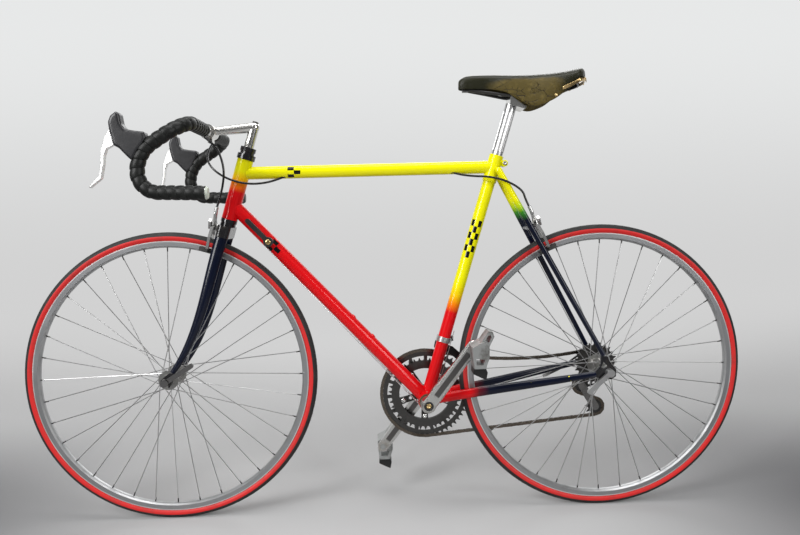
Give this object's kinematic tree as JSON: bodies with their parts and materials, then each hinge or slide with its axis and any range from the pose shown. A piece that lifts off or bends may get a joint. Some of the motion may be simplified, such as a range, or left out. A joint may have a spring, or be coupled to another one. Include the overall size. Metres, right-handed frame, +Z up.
{
  "type": "vintage road bicycle",
  "caption": "Vintage road bicycle with a yellow, red and navy frame, drop bars, leather saddle and a double chainset, with wheels, cranks, pedals and steering that turn.",
  "frame": {"origin": "the point on the saddle's top where the rider sits, in the bicycle's middle plane", "axes": "+X rearward, +Y to the drive side (the rider's right), +Z up"},
  "size_m": [1.6658, 0.4288, 1.0194],
  "materials": {
    "yellow_paint": "gloss lemon enamel",
    "red_paint": "gloss red enamel",
    "navy_paint": "gloss navy enamel",
    "polished_alloy": "polished",
    "steel": "bright steel",
    "dark_steel": "dark, oily steel",
    "black_parts": "black",
    "tyre": "black tread, red sidewalls",
    "tape": "black wrapped tape",
    "rubber": "grey-black rubber",
    "leather": "worn, cracked",
    "brass": "worn brass",
    "cable_housing": "black sleeve",
    "pale_plastic": "pale grey"
  },
  "bodies": {
    "frame": {"head_tube": "yellow_paint", "top_tube": "yellow_paint", "down_tube": "red_paint", "seat_tube": "red_paint", "seat_lug": "yellow_paint", "bottom_bracket_shell": "red_paint", "bottom_bracket_cups": "steel", "chain_stays": "navy_paint", "seat_stays": "navy_paint", "rear_dropouts": "navy_paint", "headset_cups": "black_parts", "rear_axle": "steel", "chain": "dark_steel", "front_derailleur": "black_parts", "rear_derailleur": "black_parts", "derailleur_cage": "black_parts", "jockey_wheels": "black_parts", "shift_levers": "black_parts", "rear_brake": "polished_alloy", "rear_brake_pads": "rubber", "seatpost": "polished_alloy", "saddle_clamp": "polished_alloy", "saddle_rails": "steel", "saddle_leather": "leather", "saddle_frame": "brass", "rear_brake_cable_front": "cable_housing", "rear_brake_cable_rear": "cable_housing", "shift_cables": "cable_housing"},
    "steering": {"fork_blades": "navy_paint", "fork_crown": "navy_paint", "fork_ends": "navy_paint", "headset_top": "black_parts", "stem": "polished_alloy", "handlebar": "polished_alloy", "bar_tape": "tape", "bar_end_plugs": "pale_plastic", "brake_hoods": "rubber", "brake_levers": "polished_alloy", "front_brake": "polished_alloy", "front_brake_pads": "rubber", "front_brake_cable": "cable_housing", "front_axle": "steel"},
    "front_wheel": {"front_tyre": "tyre", "front_rim": "polished_alloy", "front_spokes": "steel", "front_hub": "polished_alloy"},
    "rear_wheel": {"rear_tyre": "tyre", "rear_rim": "polished_alloy", "rear_spokes": "steel", "rear_hub": "polished_alloy"},
    "cogs": {"freewheel": "dark_steel"},
    "crankset": {"crank_left": "polished_alloy", "crank_right": "polished_alloy", "outer_chainring": "dark_steel", "inner_chainring": "dark_steel", "bottom_bracket_axle": "steel"},
    "left_pedal": {"pedal_left": "pale_plastic"},
    "right_pedal": {"pedal_right": "pale_plastic"}
  },
  "joints": [
    {"name": "steer", "type": "hinge", "parent": "frame", "child": "steering", "pos_m": [-0.69467, 0, -0.3256], "axis": [0.2924, 0, 0.9563], "range_deg": [-80, 80], "deforming": ["rear_brake_cable_front"]},
    {"name": "front_wheel_spin", "type": "hinge", "parent": "steering", "child": "front_wheel", "pos_m": [-0.83443, 0, -0.675], "axis": [0, 1, 0], "continuous": true},
    {"name": "rear_wheel_spin", "type": "hinge", "parent": "frame", "child": "rear_wheel", "pos_m": [0.16357, 0, -0.675], "axis": [0, 1, 0], "continuous": true},
    {"name": "crank_spin", "type": "hinge", "parent": "frame", "child": "crankset", "pos_m": [-0.247, 0, -0.742], "axis": [0, 1, 0], "continuous": true, "deforming": ["chain"]},
    {"name": "freewheel_spin", "type": "hinge", "parent": "frame", "child": "cogs", "pos_m": [0.16357, 0, -0.675], "axis": [0, 1, 0], "continuous": true},
    {"name": "left_pedal_spin", "type": "hinge", "parent": "crankset", "child": "left_pedal", "pos_m": [-0.14304, -0.09, -0.60749], "axis": [0, 1, 0], "continuous": true},
    {"name": "right_pedal_spin", "type": "hinge", "parent": "crankset", "child": "right_pedal", "pos_m": [-0.35096, 0.09, -0.87651], "axis": [0, 1, 0], "continuous": true}
  ],
  "couplings": [
    {"joint": "freewheel_spin", "follows": "crank_spin", "ratio": 3.4667}
  ]
}
